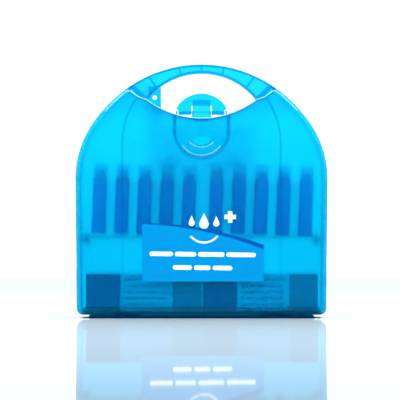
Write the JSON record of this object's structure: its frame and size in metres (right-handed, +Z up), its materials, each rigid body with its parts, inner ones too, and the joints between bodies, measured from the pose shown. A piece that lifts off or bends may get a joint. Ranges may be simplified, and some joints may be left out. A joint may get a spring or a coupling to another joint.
{
  "type": "eyewash station",
  "caption": "Arch-topped translucent carry and wall case with a hinged cover, a push latch and a wall bracket, holding eyewash pods and eye pads.",
  "frame": {"origin": "middle of the underside, on the surface the case stands on", "axes": "+Z up, -Y out of the front cover, +Y into the wall, +X to the right seen from the front"},
  "size_m": [0.254, 0.0822, 0.255],
  "materials": {
    "case_back": "frosted translucent polypropylene",
    "case_front": "frosted translucent polypropylene",
    "latch": "translucent polypropylene",
    "bracket": "translucent polypropylene",
    "steel": "plain drawn steel",
    "foot": "soft dark plastic",
    "shelf": "clear moulded sheet",
    "pod": "filled soft polyethylene",
    "carton": "printed card",
    "pad": "paper-wrapped dressing",
    "label": "printed film"
  },
  "bodies": {
    "case": {"rear_shell": "case_back", "hinge_pin_left": "steel", "hinge_pin_right": "steel", "latch_pin": "latch", "rear_feet": "foot", "pod_shelf": "shelf", "shelf_screws": "steel", "carton_tray": "shelf", "pod_strip_front_left": "pod", "pod_strip_front_right": "pod", "pod_strip_rear_left": "pod", "pod_strip_rear_right": "pod", "carton_left": "carton", "carton_right": "carton", "eye_pads_left": "pad", "eye_pads_right": "pad"},
    "cover": {"front_cover": "case_front", "cover_feet": "foot", "label": "label"},
    "latch": {"latch": "latch"},
    "bracket": {"wall_bracket": "bracket"}
  },
  "joints": [
    {"name": "cover_hinge", "type": "hinge", "parent": "case", "child": "cover", "pos_m": [0, -0.00688, 0.003], "axis": [1, 0, 0], "range_deg": [0, 95]},
    {"name": "latch_pivot", "type": "hinge", "parent": "case", "child": "latch", "pos_m": [0, -0.00187, 0.2064], "axis": [-1, 0, 0], "range_deg": [0, 25], "stiffness_Nm_per_rad": 0.3, "springref_deg": -5.73},
    {"name": "bracket_slide", "type": "slide", "parent": "case", "child": "bracket", "axis": [0, 0, -1], "range_m": [0, 0.008]}
  ]
}
